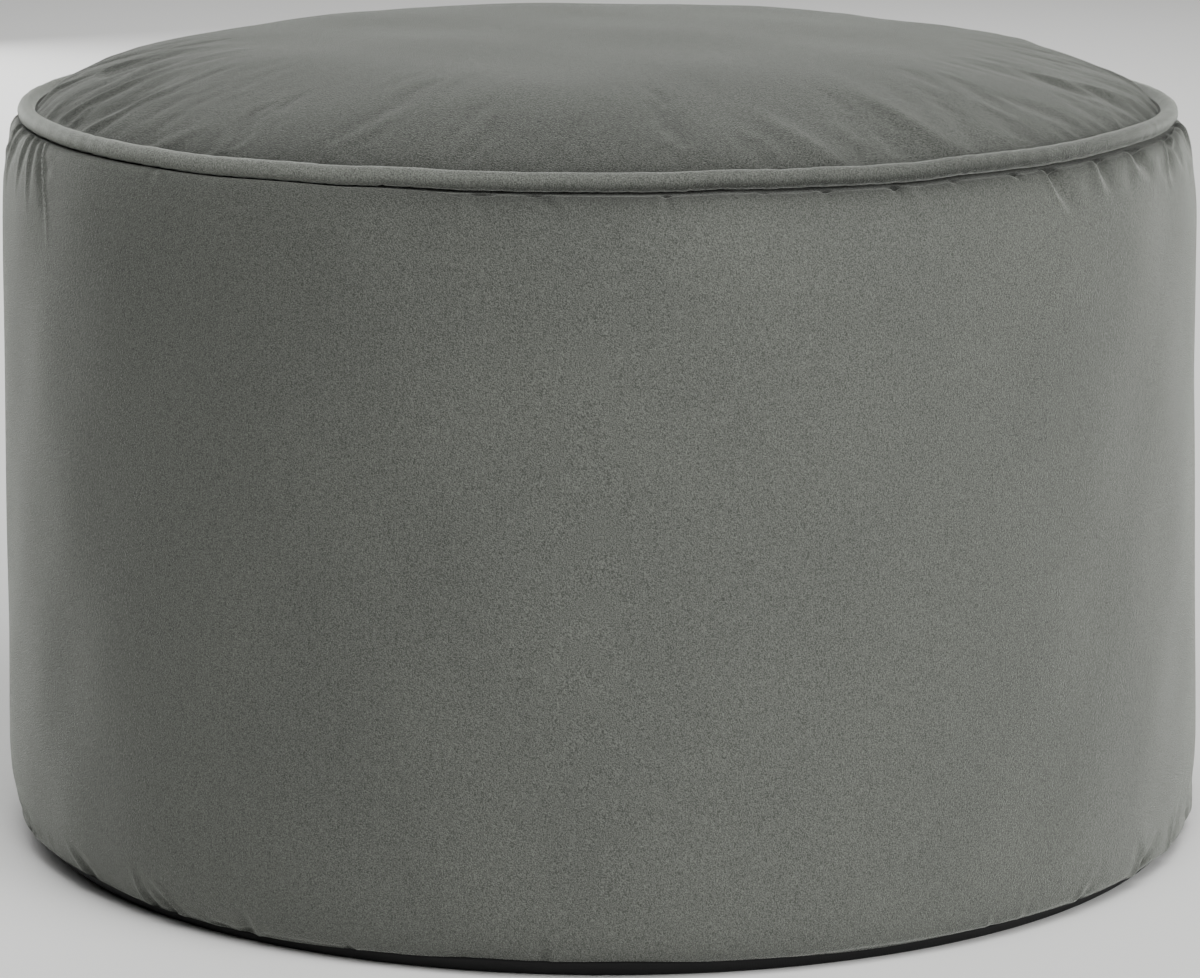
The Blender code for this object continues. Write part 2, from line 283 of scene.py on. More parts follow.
SHOULDER_CREASES = (
    # at, via, to, starts, length, ridge, ridge_width, trough, trough_width, side
    Crease(-75.0, -77.2, -77.2, 0, 32, 0.8, 1.8, 0.9, 3.0, 1),
    Crease(-70.9, -70.9, -71.4, 0, 30, 0.7, 1.6, 0.8, 2.4, 1),
    Crease(-68.6, -67.2, -66.4, 0, 34, 0.7, 1.4, 0.8, 2.2, 1),
    Crease(-65.0, -61.8, -61.2, 0, 46, 1.2, 0.8, 1.4, 2.6, -1),
    Crease(-43.7, -43.6, -43.9, 0, 12, 0.1, 1.6, 0.5, 2.2, -1),
    Crease(-12.0, -12.0, -11.6, 0, 12, 0.3, 3.0, 0.8, 4.0, 1),
    Crease(-4.2, -3.0, -2.0, 0, 10, 0.6, 1.4, 0.7, 2.2, -1),
    Crease(5.2, 5.3, 5.6, 0, 11, 0.5, 1.6, 0.9, 1.8, 1),
    Crease(14.0, 14.0, 14.3, 0, 8, 0.3, 1.5, 0.4, 2.0, 1),
    Crease(19.6, 19.7, 20.2, 0, 13, 0.4, 1.8, 0.9, 2.2, 1),
    Crease(27.0, 27.0, 27.2, 0, 7, 0.0, 0.5, 1.4, 1.6, 1),
    Crease(28.6, 29.4, 31.0, 0, 24, 0.7, 2.6, 0.4, 2.6, -1),
    Crease(33.0, 33.2, 33.4, 0, 8, 0.2, 1.4, 0.6, 2.0, 1),
    Crease(40.6, 40.7, 40.8, 0, 6, 0.0, 0.8, 1.6, 1.5, 1),
    Crease(44.6, 45.6, 48.0, 0, 26, 1.2, 1.5, 3.2, 3.4, 1),
    Crease(52.4, 52.2, 53.6, 0, 20, 0.9, 2.6, 2.4, 3.4, 1),
    Crease(59.4, 59.6, 62.6, 0, 17, 0.9, 2.6, 3.2, 5.0, 1),
    Crease(69.6, 67.6, 69.8, 0, 24, 1.2, 1.4, 2.2, 4.0, 1),
    Crease(74.4, 71.6, 72.6, 0, 14, 0.8, 1.2, 1.0, 2.4, 1),
    Crease(84.0, 83.0, 81.8, 0, 22, 1.0, 1.6, 1.4, 3.0, -1),
    Crease(93.0, 94.0, 95.4, 0, 28, 1.2, 1.6, 1.7, 3.4, 1),
    Crease(101.0, 101.5, 101.2, 0, 15, 0.7, 1.5, 1.0, 2.4, -1),
    Crease(113.5, 112.2, 110.4, 0, 31, 1.3, 1.7, 1.7, 3.6, -1),
    Crease(122.0, 122.4, 123.4, 0, 17, 0.8, 1.5, 1.0, 2.4, 1),
    Crease(130.5, 131.0, 130.4, 0, 12, 0.5, 1.4, 0.8, 2.0, 1),
    Crease(138.0, 139.2, 141.2, 0, 25, 1.1, 1.6, 1.5, 3.2, 1),
    Crease(151.0, 150.4, 149.0, 0, 19, 0.8, 1.5, 1.1, 2.6, -1),
    Crease(161.5, 162.4, 164.0, 0, 29, 1.2, 1.7, 1.6, 3.4, 1),
    Crease(171.0, 171.2, 171.0, 0, 14, 0.6, 1.5, 0.9, 2.2, -1),
    Crease(-173.0, -172.0, -171.4, 0, 21, 0.9, 1.6, 1.3, 2.8, 1),
    Crease(-162.0, -163.2, -164.4, 0, 16, 0.7, 1.5, 1.0, 2.4, -1),
    Crease(-152.5, -151.6, -149.4, 0, 30, 1.2, 1.7, 1.7, 3.4, 1),
    Crease(-141.0, -141.4, -141.0, 0, 13, 0.6, 1.4, 0.8, 2.2, 1),
    Crease(-131.0, -130.0, -128.2, 0, 23, 1.0, 1.6, 1.4, 3.0, 1),
    Crease(-118.5, -119.4, -121.0, 0, 18, 0.8, 1.5, 1.1, 2.6, -1),
    Crease(-108.0, -106.6, -104.2, 0, 32, 1.3, 1.7, 1.7, 3.6, 1),
    Crease(-97.0, -97.2, -96.4, 0, 17, 0.7, 1.5, 1.0, 2.4, -1),
    Crease(-86.5, -88.0, -89.2, 0, 26, 1.0, 1.6, 1.5, 3.0, -1),
    Crease(-79.0, -80.0, -81.6, 0, 18, 0.8, 1.4, 1.1, 2.4, 1),
)

FOOT_CREASES = (
    # at, via, to, starts, length, ridge, ridge_width, trough, trough_width, side
    Crease(-57.0, -58.8, -60.8, 0, 14, 0.9, 1.5, 1.2, 2.8, 1),
    Crease(-47.2, -47.5, -48.0, 0, 20, 0.8, 1.3, 1.4, 2.4, 1),
    Crease(-42.4, -43.7, -46.2, 0, 18, 1.2, 1.4, 1.6, 2.6, -1),
    Crease(-38.4, -40.0, -41.5, 0, 6, 0.5, 1.2, 0.6, 1.6, 1),
    Crease(-33.4, -32.9, -33.9, 0, 19, 1.0, 1.5, 1.4, 3.0, -1),
    Crease(-22.8, -22.9, -23.2, 0, 9, 0.7, 1.5, 0.9, 2.2, -1),
    Crease(-12.0, -12.2, -12.4, 0, 7, 0.3, 1.4, 0.4, 2.0, -1),
    Crease(-4.8, -4.8, -5.0, 0, 13, 0.5, 1.8, 1.0, 2.6, -1),
    Crease(36.0, 36.2, 36.4, 0, 7, 0.3, 1.4, 0.5, 2.0, 1),
    Crease(40.0, 40.2, 40.6, 0, 8, 0.3, 1.4, 0.4, 2.0, 1),
    Crease(47.6, 48.8, 50.2, 0, 10, 0.8, 1.4, 1.0, 2.2, 1),
    Crease(58.0, 60.5, 65.0, 0, 18, 1.2, 1.5, 1.6, 2.8, 1),
    Crease(66.6, 69.0, 72.0, 0, 24, 0.8, 1.6, 1.0, 3.0, 1),
    Crease(80.0, 82.0, 84.5, 0, 15, 0.8, 1.5, 1.1, 2.6, 1),
    Crease(95.0, 96.0, 98.5, 0, 20, 1.0, 1.6, 1.4, 3.0, 1),
    Crease(109.0, 108.0, 106.0, 0, 12, 0.6, 1.4, 0.9, 2.2, -1),
    Crease(124.0, 125.6, 128.0, 0, 18, 0.9, 1.5, 1.2, 2.8, 1),
    Crease(142.0, 141.0, 138.6, 0, 16, 0.8, 1.5, 1.1, 2.6, -1),
    Crease(158.0, 159.0, 161.4, 0, 21, 1.0, 1.6, 1.4, 3.0, 1),
    Crease(172.0, 171.6, 170.4, 0, 11, 0.6, 1.4, 0.8, 2.2, -1),
    Crease(-168.0, -169.0, -171.2, 0, 17, 0.8, 1.5, 1.1, 2.6, -1),
    Crease(-150.0, -149.0, -146.8, 0, 20, 1.0, 1.6, 1.3, 3.0, 1),
    Crease(-131.0, -132.4, -134.4, 0, 14, 0.7, 1.4, 1.0, 2.4, -1),
    Crease(-114.0, -115.6, -118.2, 0, 19, 0.9, 1.6, 1.3, 2.8, -1),
    Crease(-98.0, -98.6, -100.0, 0, 12, 0.6, 1.4, 0.9, 2.2, 1),
    Crease(-84.0, -86.0, -88.8, 0, 18, 0.9, 1.5, 1.2, 2.8, -1),
    Crease(-70.0, -71.6, -74.0, 0, 15, 0.8, 1.5, 1.1, 2.6, -1),
)

MM = 0.001

# Shares of a crease's length: how much of it swells up, and where its ridge and its trough start and
# stop fading
SWELLS_OVER = 0.12
RIDGE_FADES = (0.2, 1)
TROUGH_FADES = (0.1, 0.8)
RUNS_BACK = -0.2


def relief(creases, azimuth, from_seam, radius):
    """How far creases lift or sink the cloth, in metres, at azimuths in degrees and distances from a seam."""
    height = np.zeros(np.broadcast(azimuth, from_seam).shape)
    for crease in creases:
        along = (from_seam - crease.starts * MM) / (crease.length * MM)
        bend = 2 * (crease.at - 2 * crease.via + crease.to)
        line = crease.at + (crease.to - crease.at) * along - bend * along * (1 - along)
        turn = crease.to - crease.at - bend * (1 - 2 * along)
        slope = np.radians(turn) * radius / (crease.length * MM)
        aside = np.mod(azimuth - line + 180, 360) - 180
        across = np.radians(aside) * radius / np.hypot(1, slope) * crease.side / MM
        ridge = crease.ridge * np.exp(-((across / crease.ridge_width) ** 2))
        middle = crease.ridge_width + crease.trough_width
        trough = crease.trough * np.exp(-(((across - middle) / crease.trough_width) ** 2))
        begins = smoothstep(0, SWELLS_OVER, along + (crease.starts == 0) * SWELLS_OVER)
        ridge *= 1 - smoothstep(*RIDGE_FADES, along)
        trough *= 1 - smoothstep(*TROUGH_FADES, along)
        height += np.where((along > RUNS_BACK) & (along < 1), (ridge - trough) * begins, 0)
    return height * MM


def side_radius(height, top):
    """The side panel's outline: a wall that leans in as it rises, with an elliptical foot and shoulder."""
    up = np.clip((height - SHOULDER_START) / (top - SHOULDER_START), 0, 1)
    down = np.clip((FOOT_TOP - height) / (FOOT_TOP - RIM_RISE), 0, 1)
    lean = (WIDEST_RADIUS - SHOULDER_RADIUS) * (height - FOOT_TOP) / (SHOULDER_START - FOOT_TOP)
    tuck = SHOULDER_TUCK * (1 - np.sqrt(1 - up**2)) + FOOT_TUCK * (1 - np.sqrt(1 - down**2))
    return WIDEST_RADIUS - lean - tuck


# The beads settle into soft lumps that show through the cloth. Each row is one wave of them, with its
# pitch in radians for each radian of azimuth and each metre of height here, and for each metre across
# and back on the crown.
Lump = namedtuple("Lump", "across up phase size")
SIDE_LUMPS = (
    Lump(9, 19, 0.4, 0.00035),
    Lump(14, -27, 2.1, 0.00030),
    Lump(23, 42, 5.0, 0.00018),
    Lump(31, -56, 3.3, 0.00012),
)


def lumpiness(lumps, across, up):
    waves = [lump.size * np.sin(lump.across * across + lump.up * up + lump.phase) for lump in lumps]
    return sum(waves)


# The cloth is cut longer than its seams and gathered into them. spare is how much of SPARE_CLOTH is
# left at an azimuth.
Gather = namedtuple("Gather", "azimuth spare")
GATHERS = (
    Gather(-180, 0.9),
    Gather(-155, 0.6),
    Gather(-128, 1.0),
    Gather(-100, 0.7),
    Gather(-84, 0.4),
    Gather(-66, 0.15),
    Gather(-45, 0.0),
    Gather(0, 0.0),
    Gather(36, 0.05),
    Gather(60, 0.3),
    Gather(84, 0.5),
    Gather(104, 0.9),
    Gather(132, 0.6),
    Gather(158, 1.0),
    Gather(180, 0.9),
)
SPARE_CLOTH = 0.025
GATHERED_OVER = 0.024  # how far from a seam the cloth is gathered
SIM_EVERY = 4  # the simulated grid has one column for so many of the panel's
SIM_ROWS = 52
SIM_FRAMES = 14
SIM_PRESSURE = 4
SIM_BEND = 1.5  # velvet is a little stiffer than plain cotton
SIM_CAP = 0.0025  # the furthest that the simulation may move a point out or in
SWELL_WAVES = 7  # the broadest waves are the swell under pressure, which the outline already has
FLAW = 0.0001  # small random flaws, from which the gathered cloth starts to buckle
FLAW_SEED = 5


def gathered(rows, spare):
    """How far each point of a grid of cloth moves along its normal, once its two edge rows are stitched, it
    is let out by spare of SPARE_CLOTH, and the filling presses on it."""
    flaws = np.random.default_rng(FLAW_SEED).normal(scale=FLAW, size=rows.shape) * spare[..., None]
    flaws[[0, -1]] = 0
    index = np.arange(spare.size).reshape(spare.shape)
    following = np.roll(index, -1, axis=1)
    quads = np.stack([index[:-1], following[:-1], following[1:], index[1:]], axis=-1)
    mesh = bpy.data.meshes.new("gathering")
    mesh.from_pydata((rows + flaws).reshape(-1, 3).tolist(), [], quads.reshape(-1, 4).tolist())
    normals = np.array([vertex.normal for vertex in mesh.vertices]).reshape(rows.shape)
    cloth = bpy.data.objects.new("gathering", mesh)
    bpy.context.scene.collection.objects.link(cloth)
    stitched = cloth.vertex_groups.new(name="stitched")
    stitched.add([*index[0].tolist(), *index[-1].tolist()], 1, "REPLACE")
    taut = cloth.vertex_groups.new(name="taut")
    for vertex, share in enumerate(1 - spare.ravel()):
        taut.add([vertex], float(share), "REPLACE")
    simulation = cloth.modifiers.new("cloth", "CLOTH")
    simulation.point_cache.frame_end = SIM_FRAMES
    simulation.collision_settings.use_collision = False
    simulation.settings.effector_weights.gravity = 0
    simulation.settings.use_pressure = True
    simulation.settings.uniform_pressure_force = SIM_PRESSURE
    simulation.settings.vertex_group_mass = "stitched"
    simulation.settings.vertex_group_shrink = "taut"
    simulation.settings.shrink_min = -SPARE_CLOTH
    simulation.settings.bending_stiffness = SIM_BEND
    for frame_number in range(1, SIM_FRAMES + 1):
        bpy.context.scene.frame_set(frame_number)
    settled = cloth.evaluated_get(bpy.context.evaluated_depsgraph_get()).data
    moved = np.array([vertex.co for vertex in settled.vertices]).reshape(rows.shape) - rows
    bpy.data.objects.remove(cloth)
    bpy.data.meshes.remove(mesh)
    bpy.context.scene.frame_set(1)
    waves = np.fft.rfft((moved * normals).sum(axis=-1), axis=1)
    waves[:, :SWELL_WAVES] = 0
    return np.clip(np.fft.irfft(waves, axis=1), -SIM_CAP, SIM_CAP)


def evenly(values, lengths):
    """Reads each column of values at SIM_ROWS evenly spaced lengths along it."""
    pairs = zip(values.T, lengths.T)
    return np.array([np.interp(np.linspace(0, run[-1], SIM_ROWS), run, column) for column, run in pairs]).T


def cubic_weights(share):
    """The four Catmull-Rom weights for a point this share of the way between its two nearest rows."""
    squared, cubed = share**2, share**3
    weights = (
        2 * squared - share - cubed,
        2 - 5 * squared + 3 * cubed,
        share + 4 * squared - 3 * cubed,
        cubed - squared,
    )
    return [weight / 2 for weight in weights]


def read_smoothly(field, row, column):
    """Reads a coarse grid that runs round the drum at fractional rows and columns."""
    low_row, low_column = np.floor(row).astype(int), np.floor(column).astype(int)
    total = 0
    for row_step, row_weight in enumerate(cubic_weights(row - low_row), -1):
        rows = np.clip(low_row + row_step, 0, field.shape[0] - 1)
        for column_step, column_weight in enumerate(cubic_weights(column - low_column), -1):
            columns = (low_column + column_step) % field.shape[1]
            total = total + row_weight * column_weight * field[rows, columns]
    return total


around = azimuths(SIDE_COLUMNS)
seam = eased(LOWER_SEAM, around)
degrees = np.degrees(around)
ring_height = eased(UPPER_SEAM, around)
shoulder_top = ring_height - PIPING_RADIUS

# Rows from the lower seam to the upper one. They stand closest at the seams, where the creases are.
foot_turn = np.linspace(math.pi / 2, 0, FOOT_ROWS + 1)
shoulder_turn = np.linspace(0, math.pi / 2, SHOULDER_ROWS + 1)
heights = [seam + (FOOT_TOP - seam) * share for share in 1 - np.sin(foot_turn)]
wall_heights = np.linspace(FOOT_TOP, SHOULDER_START, WALL_ROWS + 1)[1:-1]
heights += [np.full(SIDE_COLUMNS, height) for height in wall_heights]
heights += [SHOULDER_START + (shoulder_top - SHOULDER_START) * math.sin(turn) for turn in shoulder_turn]
heights = np.array(heights)
radii = side_radius(heights, shoulder_top)
rim_radius = FLOOR_RADIUS + RIM_SLOPE * seam + SEAM_GAP
radii -= (radii[0] - rim_radius) * np.exp(-(heights - seam) / EDGE_BLEND)

# The creases stand square to the outline, and die away just before each seam
SHOULDER_CREASES_FADE = (0, 0.0012)
FOOT_CREASES_FADE = (-0.001, 0.0015)
run = np.gradient(radii, axis=0)
climb = np.gradient(heights, axis=0)
length = np.hypot(run, climb)
along_profile = np.cumsum(length, axis=0)
from_foot = along_profile - along_profile[0]
from_top = along_profile[-1] - along_profile
shoulder_relief = relief(SHOULDER_CREASES, degrees, shoulder_top - heights, radii)
foot_relief = relief(FOOT_CREASES, degrees, heights - seam, radii)
lift = shoulder_relief * smoothstep(*SHOULDER_CREASES_FADE, from_top)
lift += foot_relief * smoothstep(*FOOT_CREASES_FADE, from_foot)

# The simulated grid runs over the same outline, with its rows evenly spaced
sparse = np.s_[:, ::SIM_EVERY]
sim_radii = evenly(radii[sparse], from_foot[sparse])
sim_heights = evenly(heights[sparse], from_foot[sparse])
sim_grid = np.stack([ring(*row, around[::SIM_EVERY]) for row in zip(sim_radii, sim_heights)])
near_seams = np.exp(-evenly(from_top[sparse], from_foot[sparse]) / GATHERED_OVER)
near_seams += np.exp(-evenly(from_foot[sparse], from_foot[sparse]) / GATHERED_OVER)
settled = gathered(sim_grid, eased(GATHERS, around[::SIM_EVERY]) * np.minimum(near_seams, 1))
sim_row = from_foot / along_profile[-1] * (SIM_ROWS - 1)
lift += read_smoothly(settled, sim_row, np.arange(SIDE_COLUMNS) / SIM_EVERY)
LUMPS_FADE = 0.03  # the lumps die away over this distance from each seam
lumps = lumpiness(SIDE_LUMPS, around, heights)
lift += lumps * smoothstep(0, LUMPS_FADE, from_top) * smoothstep(0, LUMPS_FADE, from_foot)

# The stitches draw the cloth down into the seam, under the piping. They are pulled tighter on some
# sides than others.
Stitching = namedtuple("Stitching", "azimuth pull")
TOP_STITCHES = (
    Stitching(-180, 0.9),
    Stitching(-110, 0.5),
    Stitching(-80, 0.05),
    Stitching(-30, 0.1),
    Stitching(-5, 0.8),
    Stitching(15, 1.1),
    Stitching(90, 1.6),
    Stitching(180, 0.9),
)
SEAM_DIP = 0.0014
SEAM_DIP_WIDTH = 0.0026
lift -= SEAM_DIP * eased(TOP_STITCHES, around) * np.exp(-((from_top / SEAM_DIP_WIDTH) ** 2))

# The strip's two ends are closed by one upright seam at the back, which sinks between its two edges and
# puckers a little
CLOSING_SEAM = 180
CLOSING_WIDTH = 0.0021
CLOSING_DEPTH = 0.0013
PUCKER_PITCH = 0.011
PUCKER_DRIFT = 90  # how fast the puckers' spacing wavers up the seam, in radians a metre
PUCKER_REACH = 0.009
PUCKER = 0.00035
from_closing = np.radians(np.mod(degrees - CLOSING_SEAM + 180, 360) - 180) * radii
puckers = np.sin(math.tau * heights / PUCKER_PITCH + np.sin(heights * PUCKER_DRIFT))
puckers *= np.exp(-np.abs(from_closing) / PUCKER_REACH)
at_closing = np.exp(-((from_closing / CLOSING_WIDTH) ** 2))
lift += PUCKER * puckers * np.sign(from_closing) - CLOSING_DEPTH * at_closing
radii = radii + lift * climb / length
heights = heights - lift * run / length

# Above the wall the cloth turns in under the piping, and its hidden lid and seat close it
UNDER_PIPING = (-88, -115, -145, -175)  # degrees round the cord
LID_DROP = 0.0005
SEAT_HEIGHT = 0.004
SEAT_SHARE = 0.9
SEAT_EDGE_IN = 0.003
SEAT_EDGE_UP = 0.0015
wall = [ring(radii[row], heights[row], around) for row in range(len(heights))]
reach = PIPING_RADIUS + SEAM_SLOT
under_piping = [
    ring(RING_RADIUS + reach * math.cos(angle), ring_height + reach * math.sin(angle), around)
    for angle in np.radians(UNDER_PIPING)
]
seat = [
    ring(FLOOR_RADIUS * SEAT_SHARE, SEAT_HEIGHT, around),
    ring(rim_radius - SEAT_EDGE_IN, seam + SEAT_EDGE_UP, around),
]
side_panel = skin(
    "side_panel_velvet",
    [ring(0, SEAT_HEIGHT, pole)] + seat + wall + under_piping + [ring(0, SEAM_HEIGHT - LID_DROP, pole)],
)


def mark_painted_shade(piece, painted_shade):
    """Stores how much painted shade darkens the cloth's colour at each point, from 0 to 1, for the velvet to
    read.
    """
    piece.data.attributes.new("painted_shade", "FLOAT", "POINT").data.foreach_set("value", np.concatenate(painted_shade))


# Painted shade: the cloth's colour is darkened along both seams over its last few millimetres, most where the
# stitches pull tightest, and along the closing seam at the back, where shade falls under the piping and in
# the seams
PAINTED_SHADE_OVER = 0.0045
PAINTED_SHADE_AT_FOOT = 0.5
PAINTED_SHADE_AT_CLOSING = 0.8
hidden = np.ones(SIDE_COLUMNS)
side_painted_shade = eased(TOP_STITCHES, around) * np.exp(-from_top / PAINTED_SHADE_OVER)
side_painted_shade += PAINTED_SHADE_AT_FOOT * np.exp(-from_foot / PAINTED_SHADE_OVER)

# Painted shade: the colour on the front left of the shoulder, below the piping, is made a little darker,
# where shade falls
PaintedShoulderShade = namedtuple("PaintedShoulderShade", "azimuth share")
PAINTED_SHOULDER_SHADE = (
    PaintedShoulderShade(-180, 0.0),
    PaintedShoulderShade(-60, 0.0),
    PaintedShoulderShade(-42, 0.10),
    PaintedShoulderShade(-25, 0.19),
    PaintedShoulderShade(-10, 0.22),
    PaintedShoulderShade(0, 0.18),
    PaintedShoulderShade(10, 0.0),
    PaintedShoulderShade(180, 0.0),
)
PAINTED_SHOULDER_SHADE_OVER = 0.035
side_painted_shade += eased(PAINTED_SHOULDER_SHADE, around) * np.exp(-from_top / PAINTED_SHOULDER_SHADE_OVER)
side_painted_shade += PAINTED_SHADE_AT_CLOSING * at_closing
under = [hidden] * len(under_piping)
mark_painted_shade(side_panel, [hidden[:1], hidden, hidden, *np.clip(side_painted_shade, 0, 1), *under, hidden[:1]])

# Polyester velvet with a cut pile about 1 mm long. The pile stands in tufts that part a little, so the
# cloth is finely mottled. It leans one way, which tilts its shading, and its tips catch light at a glancing
# angle. Its colour also carries painted light and shade: one side is made lighter and the other darker, each
# panel gets a lighter or darker copy, and the cloth is darker where shade falls in the seams.
VELVET = "#5b5d58"
VELVET_BRUSHED_DARK = "#545652"
PILE_TIPS = "#f4f8f0"
TUFT = 0.0005
THREAD = 0.0008
THREAD_RUN = 0.0045
BRUSHED_PATCH = 0.060
PILE_DEPTH = 0.0005
# the share of its colour that is left where the painted shade is darkest
PAINTED_SHADE_DARKEST = 0.22
NOISE_SPAN = (0.3, 0.7)  # nearly all of the noise lies between these


def times(tree, one, other):
    """The product of two numbers in a node tree."""
    return node(tree, "ShaderNodeMath", {0: one, 1: other}, operation="MULTIPLY").outputs[0]


def velvet(name, nap, thread_share, painted_light_scale=1.0, painted_light_side=1.0, sheen=0.6, grain_depth=0.5):
    """nap is where the pile's tips point, and how strongly. thread_share is how far the rows of pile show as
    upright lines. The side setting is painted light and shade: it makes the colour that many times lighter
    than its middle at -X, and as many times darker at +X. The overall scale paints the whole colour lighter
    or darker.
    grain_depth is how much lighter and darker than their mean the tufts are."""
    material, tree, shader = new_material(name)
    place = node(tree, "ShaderNodeTexCoord").outputs["Object"]
    tufts = node(tree, "ShaderNodeTexNoise", {"Vector": place, "Scale": 1 / TUFT, "Detail": 1})
    stretched = node(tree, "ShaderNodeMapping", {"Vector": place, "Scale": (1, 1, THREAD / THREAD_RUN)})
    threads = node(
        tree,
        "ShaderNodeTexNoise",
        {"Vector": stretched.outputs[0], "Scale": 1 / THREAD, "Detail": 1},
    )
    grain = node(
        tree,
        "ShaderNodeMix",
        {"Factor": thread_share, "A": tufts.outputs["Fac"], "B": threads.outputs["Fac"]},
    )
    depth = node(
        tree,
        "ShaderNodeMapRange",
        {
            "Value": grain.outputs[0],
            "From Min": NOISE_SPAN[0],
            "From Max": NOISE_SPAN[1],
            "To Min": 1 - grain_depth,
            "To Max": 1 + grain_depth,
        },
    )
    # Painted light and shade: the colour is made lighter towards -X and darker towards +X, and is scaled
    # lighter or darker as a whole
    place_x = node(tree, "ShaderNodeSeparateXYZ", {"Vector": place}).outputs["X"]
    aside = times(tree, place_x, -1 / WIDEST_RADIUS)
    side_shade = node(tree, "ShaderNodeMath", {0: painted_light_side, 1: aside}, operation="POWER").outputs[0]
    side_shade = times(tree, side_shade, painted_light_scale)
    # Painted shade: the colour is darkened where the point attribute marks shade, down to a fixed share of
    # itself
    painted_shade = node(tree, "ShaderNodeAttribute", attribute_name="painted_shade").outputs["Fac"]
    painted_shade_factor = node(tree, "ShaderNodeMapRange", {"Value": painted_shade, "To Min": 1, "To Max": PAINTED_SHADE_DARKEST})
    shade = times(tree, times(tree, depth.outputs[0], side_shade), painted_shade_factor.outputs[0])
    patches = node(tree, "ShaderNodeTexNoise", {"Vector": place, "Scale": 1 / BRUSHED_PATCH, "Detail": 2})
    brushed_tone_and_painted_shade = node(
        tree,
        "ShaderNodeMix",
        {"Factor": patches.outputs["Fac"], 6: linear(VELVET_BRUSHED_DARK), 7: linear(VELVET)},
        data_type="RGBA",
    )
    shaded = node(
        tree,
        "ShaderNodeVectorMath",
        {0: brushed_tone_and_painted_shade.outputs["Result"], "Scale": shade},
        operation="SCALE",
    )
    upright = node(tree, "ShaderNodeNewGeometry").outputs["Normal"]
    leaning = node(tree, "ShaderNodeVectorMath", {0: upright, 1: nap}, operation="ADD")
    leaning = node(tree, "ShaderNodeVectorMath", {0: leaning.outputs[0]}, operation="NORMALIZE")
    bump = node(
        tree,
        "ShaderNodeBump",
        {"Height": grain.outputs[0], "Distance": PILE_DEPTH, "Strength": 0.8, "Normal": leaning.outputs[0]},
    )
    tree.links.new(shaded.outputs[0], shader.inputs["Base Color"])
    tree.links.new(bump.outputs[0], shader.inputs["Normal"])
    shader.inputs["Roughness"].default_value = 0.9
    shader.inputs["Specular IOR Level"].default_value = 0.15
    shader.inputs["Sheen Weight"].default_value = sheen
    shader.inputs["Sheen Roughness"].default_value = 0.35
    shader.inputs["Sheen Tint"].default_value = linear(PILE_TIPS)
    return material


side_panel.data.materials.append(velvet("grey_velvet_side", nap=(0, 0, -0.10), thread_share=0.08))
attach(side_panel, "root")
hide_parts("side_panel")

# --------------------------------------------------------------------------------------------------
# Piping. A strip of the same velvet, cut on the bias and wrapped round a 5 mm cotton cord, with its raw
# edges caught in the top seam. The needle pulls it in at each stitch, so its lower edge is very
# slightly notched.
# --------------------------------------------------------------------------------------------------

PIPING_COLUMNS = 1200
PIPING_SIDES = 28
STITCH_PULL = 0.00018  # how far single stitches pull the cord in
BIAS_JOIN = 171  # the azimuth where the strip's ends are joined, on a slant
BIAS_JOIN_SLANT = 0.0040
BIAS_JOIN_WIDTH = 0.0016
BIAS_JOIN_DEPTH = 0.0006
BIAS_JOIN_SWELL = 0.0004
BIAS_JOIN_REACH = 0.006

# The cord climbs and dips, and thickens and thins, in waves round the drum. The stitches' waves are the
# shortest.
CORD_WANDER = 0.00008
CLIMB_WAVES = range(20, 60, 3)
THICKNESS_WAVES = range(24, 160, 5)
STITCH_WAVES = range(90, 400, 13)
STITCH_SEED = 11

# Painted shade: the cord's colour is darkened underneath it and on its inner side, where shade falls
PAINTED_SHADE_BELOW_POWER = 1.3
PAINTED_SHADE_BEHIND = 0.5

around = azimuths(PIPING_COLUMNS)
stitches = np.random.default_rng(STITCH_SEED)


def wander(azimuth, waves, size):
    """A smooth random line round the drum: the sum of sines of the given numbers of waves."""
    total = np.zeros_like(azimuth)
    for count in waves:
        total += np.sin(count * azimuth + stitches.uniform(0, math.tau)) * stitches.normal()
    return size * total / math.sqrt(len(waves))


cord_height = eased(UPPER_SEAM, around) + wander(around, CLIMB_WAVES, CORD_WANDER)
cord_radius = PIPING_RADIUS + wander(around, THICKNESS_WAVES, CORD_WANDER)
pull = np.maximum(0, wander(around, STITCH_WAVES, STITCH_PULL))
from_join = np.radians(np.mod(np.degrees(around) - BIAS_JOIN + 180, 360) - 180) * RING_RADIUS
cord_rings = []
cord_painted_shade = []
for turn in np.arange(PIPING_SIDES) * math.tau / PIPING_SIDES:
    downward = max(0, -math.sin(turn))
    inward = max(0, -math.cos(turn))
    join = from_join - BIAS_JOIN_SLANT * math.sin(turn)
    swell = BIAS_JOIN_SWELL * np.exp(-((join / BIAS_JOIN_REACH) ** 2))
    groove = BIAS_JOIN_DEPTH * np.exp(-((join / BIAS_JOIN_WIDTH) ** 2))
    thickness = cord_radius - pull * downward + swell - groove
    out = RING_RADIUS + thickness * math.cos(turn)
    cord_rings.append(ring(out, cord_height + thickness * math.sin(turn), around))
    painted_shade = ((1 - math.sin(turn)) / 2) ** PAINTED_SHADE_BELOW_POWER + PAINTED_SHADE_BEHIND * inward**3
    cord_painted_shade.append(np.clip(painted_shade * eased(TOP_STITCHES, around), 0, 1))
tube = np.stack(cord_rings, axis=1)
columns = np.arange(PIPING_COLUMNS)[:, None] * PIPING_SIDES
sides = np.arange(PIPING_SIDES)[None, :]
next_columns = np.roll(columns, -1, axis=0)
next_sides = np.roll(sides, -1, axis=1)
corners = [columns + sides, next_columns + sides, next_columns + next_sides, columns + next_sides]
quads = np.stack(corners, axis=-1)
mesh = bpy.data.meshes.new("piping_velvet")
mesh.from_pydata(tube.reshape(-1, 3).tolist(), [], quads.reshape(-1, 4).tolist())
mesh.update()
